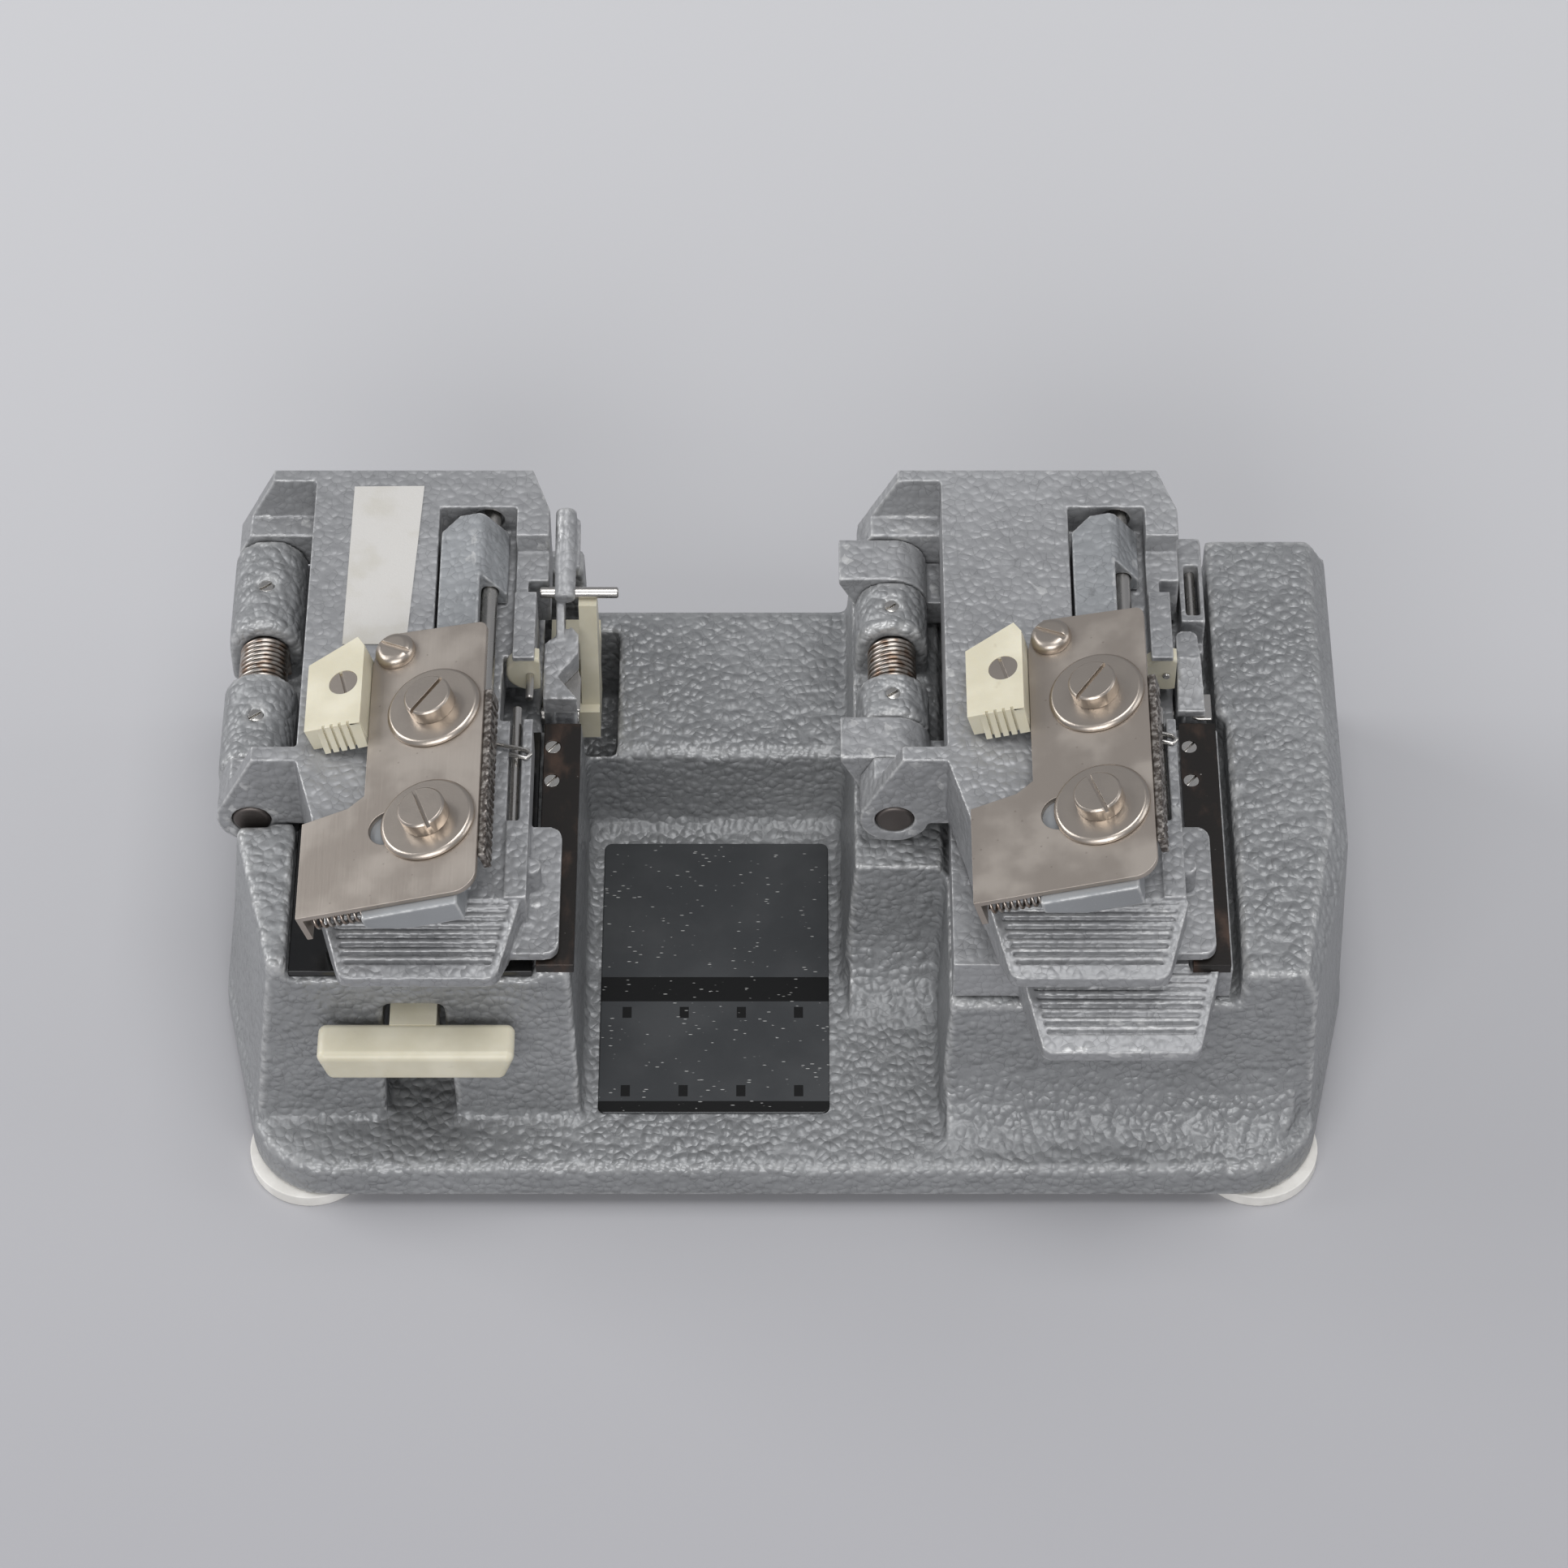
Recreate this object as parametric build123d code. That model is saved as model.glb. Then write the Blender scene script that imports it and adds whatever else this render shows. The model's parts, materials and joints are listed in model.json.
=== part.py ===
from build123d import *
import os
from math import radians, sin

# 16 mm cine film splicer: a die-cast base with two clamping heads.  The left head is fixed,
# the right head sits on a carrier that swings up.  Millimetres, +X right, +Y to the rear,
# +Z up.  Heights start at the table.  Depths are first set from the middle line of the film
# strip printed on the name plate, and every piece is moved by DEPTH_SHIFT when it is written,
# so that the origin ends up under the middle of the splicer.
DEPTH_SHIFT = -22.9

# ---- fits ----
RUN = 0.08            # radial clearance of a turning or sliding fit
GAP = 0.35            # clearance between faces that pass each other
SEAT = 0.02           # film of air under a piece that rests on another

# ---- base ----
FOOT_H = 2.0
FOOT_R = 8.2
FOOT_INSET = (12.6, 8.0, 10.0)   # from the side, the front and the rear of the base
DECK_Z = 8.0          # top of the deck
DECK_DRAFT = 3.0      # degrees
DECK_ROUND = 1.4
COVE_DRAFT = 8.0      # degrees by which the ends of the coves lean in
BASE_REAR = 65.0
BASE_FRONT = -18.9
BASE_HALF = 75.0      # half width behind the front corners
FRONT_HALF = 68.2     # half width at the front edge
FRONT_R = 11.0
REAR_R = 3.0
UNDERSIDE_Y = (-1.0, 45.0)
UNDERSIDE_Z = 5.0      # roof of the pockets in the underside
CORNER_Y = 12.0       # where the sides start to draw in
BLOCK_FRONT = -8.3    # front face of both blocks, at their tops
LEFT_DRAFT = 2.1      # how far the front of the left block leans out down to the deck
RIGHT_DRAFT = 1.4
WALL_STEP = 1.2       # the inner wall of the right block stands out by this at the rear
WALL_STEP_Y = 33.6
BLOCK_INNER = -27.2   # side of the left block next to the name plate
RIDGE_Z = 23.0
RIDGE_FRONT = 38.6
COVE = (7.6, 14.0)    # depth and height of the large coves

# ---- heights, all counted from the film line ----
FILM_Z = 39.0                  # top of both knife bars
SHOULDER_Z = FILM_Z - 0.3      # left shoulder
BLOCK_Z = FILM_Z - 1.7         # right block
WAIST_Z = FILM_Z - 6.0         # where the sides of the right block turn steeper
TRACK_SEAT = FILM_Z - 3.0      # floor of the left film channel
TRACK_T = 1.2
BAR_T = 1.6
PIT_Z = FILM_Z - 7.8           # floor under the right carrier
HINGE_Z = FILM_Z - 0.5         # axis of both hinge shafts
FLOOR_Z = FILM_Z - 6.0         # casting under the hinge lugs
ABOVE = FILM_Z + 50.0          # cuts that are open upward end here

# ---- hinges ----
LEFT_X = -69.1
RIGHT_X = 14.35
SHAFT_R = 2.5
KNUCKLE_R = 4.85
LUG_R = 4.5
SHAFT_FRONT = 15.3
SHAFT_REAR = 64.2
REAR_LUG_Y = 59.6     # front face of the rear lug
FRONT_LUG_Y = 21.7    # rear face of the front lug
LUG_FACE_Y = 15.4     # front face of the front lug
SPRING_Y0 = 36.4
SPRING_Y1 = 44.0
ARM_REAR = (52.3, 59.3)
ARM_FRONT = (21.95, 28.8)
SET_SCREW_R = 0.95
SPRING_WIRE = 0.62
SPRING_COILS = 9
SPRING_TAIL = 4.2
SET_SCREWS = [(LEFT_X, 51.4), (LEFT_X, 29.3), (RIGHT_X, 47.9), (RIGHT_X, 33.0)]

# ---- jaws, with x measured from the hinge axis ----
JAW_TOP = FILM_Z + 12.0
JAW_REAR = 64.9
JAW_EDGE = 6.6        # side next to the knuckles
JAW_SIDE = 36.5       # side next to the knife bar
SHOULDER_X = 38.0
SHOULDER_Y = 48.4
RIM_T = 1.9
RECESS_X = 23.4
RECESS_REAR = 58.4
RECESS_Z = JAW_TOP - 5.0
STRIP_Z = JAW_TOP - 4.6
FOOT_X = 40.5
FOOT_Y0 = -7.7
FOOT_Y1 = 12.6
FOOT_TOP = FILM_Z + 1.8
FOOT_R_CORNER = 1.8
TAB_FRONT = -13.3
TAB_BACK = -3.0
TAB_W_FRONT = 19.7
TAB_W_BACK = 25.5
TAB_OFFSET = -1.9     # from the middle of the scraper to the middle of the tab
TAB_DROP = 3.1
TAB_Z = FILM_Z + 7.0  # top of the tab where it leaves the jaw
TAB_T = 3.4
GROOVES = 8
GROOVE_PITCH = 1.14
GROOVE_W = 0.55
TAB_EDGE = 1.2
TAB_RIM = 1.05        # smooth rim on both sides of the grooves

# ---- scraper, measured in the plane of the tilted plate ----
TILT = 16.0
PLATE_T = 0.8
PLATE_Z = JAW_TOP + 5.6   # top of the plate at the washers
PLATE_RIGHT = 6.2
PLATE_LEFT = -9.2
PLATE_WIDE = -17.4
PLATE_FRONT = -29.3
PLATE_NECK = -13.2
PLATE_REAR = 14.2
WASHER_X = -0.4
WASHER_Y = (0.6, -17.4)
WASHER_R = 6.2
WASHER_T = 0.8
SCREW_R = 3.1
SCREW_H = 2.2
SCREW_SLOT = 0.5
SHANK_R = 1.5
PIVOT = (-6.0, 11.0)
PIVOT_R = 2.65
KNOB_X = (-16.8, -9.3)
KNOB_Y = (-1.9, 12.4)
KNOB_TOP = 3.0
KNOB_SCREW = (-11.9, 5.2)
KNOB_SINK = 1.1
KNOB_SCREW_R = 1.9
KNOB_RIB = 1.1
KNOB_SHANK_R = 0.9
SLOT_HALF = 2.6
PUSH_Y = PLATE_FRONT + 1.6
PUSH_Z = -2.9
PUSH_R = 1.25
PUSH_WIRE = 0.4
PUSH_COILS = 9
SWING = 4.0           # degrees that the plate turns about its pivot screw
BUSH_FRONT = 26.6     # from the rear washer to the bush
BUSH_RIGHT = 32.6     # right side of the rear bush of the slide, clear of the button
ROD_R = 1.1
ROD_X = 30.3
ROD_Z = JAW_TOP - 2.4
ROD_FRONT = 12.0
SIDE_ROD_R = 0.6
CLIP_WIRE = 0.28
CLIP_BACK = 2.8       # from the rear washer to the clip

# ---- knife bars and rocker arms, x from the hinge axis ----
BAR_X = (37.6, 42.4)
BAR_Y = (-8.2, 31.1)
PIVOT_Y = 36.4
PIVOT_Z = FILM_Z - 5.0
AXLE_R = 1.2
ARM_X = (37.4, 42.0)
WING_Z = FILM_Z + 7.0     # top of the wing of the press lever
PIN_R = 0.75
PIN_Y = 47.0
PIN_Z = WING_Z + PIN_R + 0.1
PIN_X = (36.8, 47.2)
FINGER_R = 1.4
FINGER_X = 40.15
FINGER_END = (58.0, FILM_Z + 11.6)
RIGHT_ARM_Y = (31.8, 42.8)
BAR_SCREW_X = BAR_X[0] + 1.2
BAR_SCREW_Y = (27.2, 21.6)
BAR_SCREW_R = 1.0

# ---- cream button in front of the rail of an upper jaw ----
BUTTON_X = 35.9
BUTTON_Y = (34.7, 36.7)
BUTTON_Z = FILM_Z + 5.6
BUTTON_R = 3.25
BUTTON_SIDE = 37.05   # flat towards the rocker arm
BUTTON_PIN_R = 0.52
BUTTON_PIN_X = 35.8
BUTTON_PIN_REAR = 39.0
ROOF_Z = JAW_TOP - 2.8    # underside of the rail over the button

# ---- press lever ----
BARGRIP_X = (-60.0, -34.0)
BARGRIP_FOOT = (-58.4, -35.8)   # the grip narrows down to this
BARGRIP_Y = (-16.0, -10.4)
BARGRIP_Z = (FILM_Z - 14.5, FILM_Z - 9.2)
STEM_X = (-50.5, -44.5)
LEVER_PIVOT = (33.0, FILM_Z - 11.8)
LEVER_PIN_R = 1.5
LEVER_HUB_R = 3.4
CROSS_Y = (41.5, 48.5)
CROSS_Z = (FILM_Z - 16.0, FILM_Z - 10.6)
WING_TOP_Y = (45.4, 48.4)
WING_FOOT_Y = (42.1, 50.0)
PLATFORM_X = -31.4
PLATFORM_Y = (47.0, 53.9)
PLATFORM_Z = (FILM_Z - 10.0, FILM_Z - 6.0)
SLOT_RIGHT = -22.6
SLOT_Y = (39.0, 60.2)
WING_X = (-27.2, -24.8)
SLOT_X = (-51.4, -43.6)
SLOT_Z = FILM_Z - 8.1
LEVER_PIN_X = (SLOT_X[0] - 5.0, SLOT_X[1] + 5.0)

# ---- right carrier ----
CARRIER_Z = (PIT_Z + 0.3, FILM_Z - 0.6)
CARRIER_EDGE = 7.2
CARRIER_FRONT = -7.7
LOWER_TAB_FRONT = -19.2

# ---- name plate ----
NAME_X = (-24.5, 6.0)
NAME_Y = (-9.9, 34.6)
NAME_T = 0.35
LABEL_PLAN = [(-57.3, 61.9), (-48.0, 62.0), (-49.2, 34.6), (-57.5, 34.6)]
LABEL_T = 0.12

os.makedirs("parts", exist_ok=True)


def box(xs, ys, zs):
    size = Box(xs[1] - xs[0], ys[1] - ys[0], zs[1] - zs[0])
    return Pos((xs[0] + xs[1]) / 2, (ys[0] + ys[1]) / 2, (zs[0] + zs[1]) / 2) * size


def rod_x(xs, y, z, radius):
    return Pos((xs[0] + xs[1]) / 2, y, z) * Rot(0, 90, 0) * Cylinder(radius, xs[1] - xs[0])


def rod_y(x, ys, z, radius):
    return Pos(x, (ys[0] + ys[1]) / 2, z) * Rot(90, 0, 0) * Cylinder(radius, ys[1] - ys[0])


def rod_z(x, y, zs, radius):
    return Pos(x, y, (zs[0] + zs[1]) / 2) * Cylinder(radius, zs[1] - zs[0])


def flat_face(points):
    return Face(Wire(Polyline(*points, close=True)))


def prism_x(points, xs):
    """Solid with a (y, z) outline, running along X."""
    face = flat_face([(xs[0], y, z) for y, z in points])
    return Part() + Solid.extrude(face, Vector(xs[1] - xs[0], 0, 0))


def prism_y(points, ys):
    """Solid with an (x, z) outline, running along Y."""
    face = flat_face([(x, ys[0], z) for x, z in points])
    return Part() + Solid.extrude(face, Vector(0, ys[1] - ys[0], 0))


def prism_z(points, zs):
    """Solid with an (x, y) outline, running along Z."""
    face = flat_face([(x, y, zs[0]) for x, y in points])
    return Part() + Solid.extrude(face, Vector(0, 0, zs[1] - zs[0]))


def drafted(low, high, zs):
    """Solid between two (x, y) outlines of equal point count at two heights."""
    lower = flat_face([(x, y, zs[0]) for x, y in low])
    upper = flat_face([(x, y, zs[1]) for x, y in high])
    return Part() + loft([lower, upper], ruled=True)


def shifted(points, dx):
    return [(x + dx, y) for x, y in points]


def soften(solid, axis, place, radius):
    """Round the edges of the face that lies furthest along an axis."""
    face = solid.faces().sort_by(axis)[place]
    return fillet(face.edges(), radius)


def cove_x(xs, y, z, depth, height):
    """Concave fillet strip along X, against a wall whose front face is at y."""
    strip = box(xs, (y - depth, y + 0.01), (z - 0.01, z + height))
    centre = Plane((xs[0] - 1, y - depth, z + height), x_dir=(0, 1, 0), z_dir=(1, 0, 0))
    return strip - extrude(centre * Ellipse(depth, height), amount=xs[1] - xs[0] + 2)


def write(name, solid):
    moved = Pos(0, DEPTH_SHIFT, 0) * solid
    moved.label = name
    export_step(moved, f"parts/{name}.step")


# ------------------------------------------------------------------ base casting
def knuckle(x, ys):
    barrel = rod_y(x, ys, HINGE_Z, KNUCKLE_R)
    barrel = fillet(barrel.edges().filter_by(GeomType.CIRCLE).sort_by(Axis.Y)[0], 0.9)
    web = box((x - KNUCKLE_R, x + KNUCKLE_R), ys, (FLOOR_Z - 1, HINGE_Z))
    return barrel + web


def base_plan(inset=0.0):
    """Outline of the base at the height of its underside."""
    half, front_half = BASE_HALF - inset, FRONT_HALF - inset
    rear, front = BASE_REAR - inset, BASE_FRONT + inset
    outline = flat_face([
        (-half, rear, FOOT_H), (half, rear, FOOT_H), (half, CORNER_Y, FOOT_H),
        (front_half, front, FOOT_H), (-front_half, front, FOOT_H), (-half, CORNER_Y, FOOT_H)])
    plan = fillet(outline.vertices().group_by(Axis.Y)[0], FRONT_R - inset)
    return fillet(plan.vertices().group_by(Axis.Y)[-1], REAR_R)


def base_deck():
    deck = extrude(base_plan(), amount=DECK_Z - FOOT_H, dir=(0, 0, 1), taper=DECK_DRAFT)
    return soften(deck, Axis.Z, -1, DECK_ROUND)


def left_block():
    inner, foot_front = BLOCK_INNER, BLOCK_FRONT - LEFT_DRAFT
    low = [(-74.4, 64.4), (inner + 0.6, 64.4), (inner + 0.6, foot_front), (-69.2, foot_front), (-74.2, 12.0)]
    high = [(-73.3, 64.0), (inner, 64.0), (inner, BLOCK_FRONT), (-65.6, BLOCK_FRONT), (-70.8, 13.0)]
    block = drafted(low, high, (DECK_Z - 1, SHOULDER_Z))
    block = soften(block, Axis.Z, -1, 0.8)
    channel_x = LEFT_X + JAW_EDGE - 0.8
    block -= box((channel_x, 0), (-20, 80), (TRACK_SEAT, ABOVE))
    block -= box((-90, channel_x + 0.1), (SHAFT_FRONT - 0.4, 80), (FLOOR_Z, ABOVE))
    # seat of the knife bar
    bar_seat = FILM_Z - BAR_T - SEAT
    block += box((LEFT_X + BAR_X[0] - 0.3, inner), (BLOCK_FRONT + 0.1, BAR_Y[1] + 0.4),
                 (bar_seat - 2.0, bar_seat))
    return block


def lever_space():
    """Hollow of the left block in which the press lever rocks."""
    tunnel = box(SLOT_X, (-30, 42.0), (DECK_Z + 0.2, SLOT_Z))
    room = box((SLOT_X[0], SLOT_RIGHT), (SLOT_Y[0], SLOT_Y[1]), (DECK_Z + 0.2, ABOVE))
    roof = box((SLOT_X[0] - 1, LEFT_X + ARM_X[0] - GAP), (0, 80), (TRACK_SEAT - 1.2, ABOVE))
    slanted = prism_y([(SLOT_X[0], DECK_Z + 0.2), (SLOT_X[0] - 0.7, DECK_Z + 0.2),
                       (SLOT_X[0], SLOT_Z)], (-30, 3.0))
    slanted += prism_y([(SLOT_X[1], DECK_Z + 0.2), (SLOT_X[1] + 0.7, DECK_Z + 0.2),
                        (SLOT_X[1], SLOT_Z)], (-30, 3.0))
    pocket = box((LEFT_X + ARM_X[0] - GAP, SLOT_RIGHT), (BAR_Y[1] + 0.4, SLOT_Y[1]), (PIVOT_Z - 4.0, ABOVE))
    return tunnel + (room - roof) + slanted + pocket


def right_block():
    front = BLOCK_FRONT - 0.3
    low = [(20.4, 64.8), (74.6, 64.8), (74.6, 12.0), (69.2, front - RIGHT_DRAFT), (20.4, front - RIGHT_DRAFT)]
    mid = [(21.3, 64.7), (73.8, 64.7), (73.8, 16.0), (68.2, front - 0.2), (21.3, front - 0.2)]
    lower = drafted(low, mid, (DECK_Z - 1, WAIST_Z))
    wall_x = RIGHT_X + BAR_X[1] + 1.6
    high = [(wall_x, 64.6), (71.2, 64.6), (71.2, 17.0), (66.4, front), (wall_x, front)]
    foot = [(wall_x, 64.7), (73.8, 64.7), (73.8, 16.0), (68.2, front - 0.2), (wall_x, front - 0.2)]
    upper = drafted(foot, high, (WAIST_Z, BLOCK_Z))
    lower -= box((15, wall_x), (-30, 80), (PIT_Z, ABOVE))
    step = box((wall_x - WALL_STEP, wall_x + 1), (WALL_STEP_Y, 64.6), (PIT_Z - 1, BLOCK_Z))
    return lower + upper + fillet(step.edges().filter_by(Axis.Z).group_by(Axis.Y)[0][0], WALL_STEP * 0.9)


def hinge_block():
    """Raised floor under the right hinge, left of the pit of the carrier."""
    low = [(7.7, 65.0), (21.5, 65.0), (21.5, 11.2), (7.7, 11.2)]
    high = [(9.2, 64.4), (21.5, 64.4), (21.5, 11.9), (9.2, 11.9)]
    return drafted(low, high, (DECK_Z - 1, FLOOR_Z))


def base_casting():
    base = base_deck() + left_block() + right_block() + hinge_block()
    ridge = prism_x([(RIDGE_FRONT - 0.4, DECK_Z - 1), (RIDGE_FRONT, RIDGE_Z), (BASE_REAR - 0.6, RIDGE_Z),
                     (BASE_REAR - 0.2, DECK_Z - 1)], (-30.0, 12.0))
    ridge = fillet(ridge.edges().filter_by(Axis.X).group_by(Axis.Z)[-1], 1.6)
    base += ridge
    base += cove_x((-28.0, 8.6), RIDGE_FRONT - 0.2, DECK_Z, 2.4, 2.4)
    base += cove_x((8.7, 21.2), 11.7, DECK_Z, *COVE)
    room = extrude(base_plan(DECK_ROUND), amount=RIDGE_Z, dir=(0, 0, 1), taper=COVE_DRAFT)
    base += cove_x((21.2, BASE_HALF), BLOCK_FRONT - 0.9, DECK_Z, *COVE) & room
    base += cove_x((-68.0, BLOCK_INNER), BLOCK_FRONT - LEFT_DRAFT + 0.1, DECK_Z, 1.2, 1.2)
    # hinge knuckles
    for ys in ((SPRING_Y1, ARM_REAR[1]), (FRONT_LUG_Y + 0.25, SPRING_Y0)):
        base += knuckle(LEFT_X, ys)
    for ys in ((SPRING_Y1, ARM_REAR[0] - 0.25), (ARM_FRONT[1] + 0.25, SPRING_Y0)):
        base += knuckle(RIGHT_X, ys)
    base -= lever_space()
    base -= box((RIGHT_X + CARRIER_EDGE - 0.7, RIGHT_X + CARRIER_EDGE + 2), (-30, 80), (PIT_Z, ABOVE))
    # shaft and set screw bores
    for x in (LEFT_X, RIGHT_X):
        base -= rod_y(x, (SHAFT_FRONT - 1, 70), HINGE_Z, SHAFT_R)
    for x, y in SET_SCREWS:
        base -= rod_z(x, y, (HINGE_Z, HINGE_Z + 6), SET_SCREW_R + SEAT)
    base -= rod_x(LEVER_PIN_X, *LEVER_PIVOT, LEVER_PIN_R)
    base -= rod_x((LEFT_X + ARM_X[0] - 6.0, LEFT_X + ARM_X[0]), PIVOT_Y, PIVOT_Z, AXLE_R)
    # hollow underside
    for xs in ((-40.0, 5.0), (24.0, 66.0), (-70.0, -55.5)):
        base -= box(xs, UNDERSIDE_Y, (0, UNDERSIDE_Z))
    return base


def base_feet():
    feet = []
    side, front, rear = FOOT_INSET
    for x in (-BASE_HALF + side, BASE_HALF - side):
        for y in (BASE_FRONT + front, BASE_REAR - rear):
            feet.append(rod_z(x, y, (0, FOOT_H), FOOT_R))
    return Compound(children=[Part() + foot for foot in feet])


def paper_label():
    """Blank paper label on top of the left jaw."""
    return prism_z(LABEL_PLAN, (JAW_TOP + SEAT, JAW_TOP + SEAT + LABEL_T))


def name_plate():
    plate = box(NAME_X, NAME_Y, (DECK_Z, DECK_Z + NAME_T))
    return fillet(plate.edges().filter_by(Axis.Z), 1.0)


def hinge_shaft(x):
    shaft = rod_y(x, (SHAFT_FRONT, SHAFT_REAR), HINGE_Z, SHAFT_R - 0.01)
    return chamfer(shaft.edges(), 0.3)


def set_screws():
    screws = []
    for x, y in SET_SCREWS:
        top = HINGE_Z + KNUCKLE_R - 0.4
        screw = rod_z(x, y, (HINGE_Z + SHAFT_R, top), SET_SCREW_R)
        screws.append(Part() + (screw - Pos(x, y, top) * Rot(0, 0, 35) * Box(3, 0.35, 0.9)))
    return Compound(children=screws)


def hinge_spring(x):
    """Torsion spring round the shaft, between the two knuckles, with two tails that point down."""
    length = SPRING_Y1 - SPRING_Y0 - SPRING_WIRE - 0.4
    radius = SHAFT_R + 0.12 + SPRING_WIRE / 2
    middle = (SPRING_Y0 + SPRING_Y1) / 2
    spring = coil(radius, SPRING_WIRE, length, SPRING_COILS)
    spring = Pos(x, middle + length / 2, HINGE_Z) * Rot(90, 0, 0) * spring
    for y in (middle - length / 2, middle + length / 2):
        spring += rod_z(x + radius, y, (HINGE_Z - SPRING_TAIL, HINGE_Z), SPRING_WIRE / 2)
    return spring


def coil(radius, wire, length, turns):
    """Round wire wound on the Z axis, from z = 0 upward."""
    path = Helix(length / turns, length, radius)
    return Part() + sweep(Plane(path @ 0, z_dir=path % 0) * Circle(wire / 2), path=path)


# ------------------------------------------------------------------ press lever
def press_lever():
    grip = prism_y([(BARGRIP_FOOT[0], BARGRIP_Z[0]), (BARGRIP_FOOT[1], BARGRIP_Z[0]),
                    (BARGRIP_X[1], BARGRIP_Z[1]), (BARGRIP_X[0], BARGRIP_Z[1])], BARGRIP_Y)
    grip = fillet(grip.edges(), 1.1)
    hub_y, hub_z = LEVER_PIVOT
    lever = grip + box(STEM_X, (BARGRIP_Y[1] - 0.5, hub_y), BARGRIP_Z)
    lever += rod_x(STEM_X, hub_y, hub_z, LEVER_HUB_R)
    lever += box(STEM_X, (hub_y, CROSS_Y[1]), (CROSS_Z[0], CROSS_Z[1] + 1.0))
    lever += box((STEM_X[0], WING_X[1]), CROSS_Y, CROSS_Z)
    lever += prism_x([(WING_FOOT_Y[0], CROSS_Z[0]), (WING_FOOT_Y[1], CROSS_Z[0]), (WING_FOOT_Y[1], PLATFORM_Z[1]),
                      (WING_TOP_Y[1], WING_Z), (WING_TOP_Y[0], WING_Z)], WING_X)
    lever += box((PLATFORM_X, WING_X[1]), PLATFORM_Y, PLATFORM_Z)
    lever += box((PLATFORM_X, WING_X[1]), (PLATFORM_Y[0], CROSS_Y[1]), (CROSS_Z[1] - 1, PLATFORM_Z[0] + 1))
    return lever - rod_x(LEVER_PIN_X, *LEVER_PIVOT, LEVER_PIN_R + RUN)


def lever_pin():
    return rod_x((LEVER_PIN_X[0] + 0.2, LEVER_PIN_X[1] - 0.2), *LEVER_PIVOT, LEVER_PIN_R - 0.01)


# ------------------------------------------------------------------ parts of both heads
def knife_bar(x0):
    bar = box((x0 + BAR_X[0], x0 + BAR_X[1]), BAR_Y, (FILM_Z - BAR_T, FILM_Z))
    for y in BAR_SCREW_Y:
        bar -= rod_z(x0 + BAR_SCREW_X, y, (FILM_Z - 3, FILM_Z + 1), BAR_SCREW_R + 0.02)
    return bar


def bar_screws(x0):
    screws = []
    for y in BAR_SCREW_Y:
        screw = rod_z(x0 + BAR_SCREW_X, y, (FILM_Z - BAR_T, FILM_Z - 0.1), BAR_SCREW_R)
        screws.append(Part() + (screw - Pos(x0 + BAR_SCREW_X, y, FILM_Z) * Rot(0, 0, 50) * Box(3, 0.3, 0.8)))
    return Compound(children=screws)


def lug(x0, ys, top):
    """Bored hinge lug of an upper jaw: round below, a sloping shoulder above."""
    shoulder = prism_y([(x0 - LUG_R + 0.1, HINGE_Z + 1.5), (x0 + 0.9, top), (x0 + JAW_EDGE + 0.5, top),
                        (x0 + JAW_EDGE + 0.5, HINGE_Z - 0.8), (x0, HINGE_Z - 0.8)], ys)
    return rod_y(x0, ys, HINGE_Z, LUG_R) + shoulder


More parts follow.
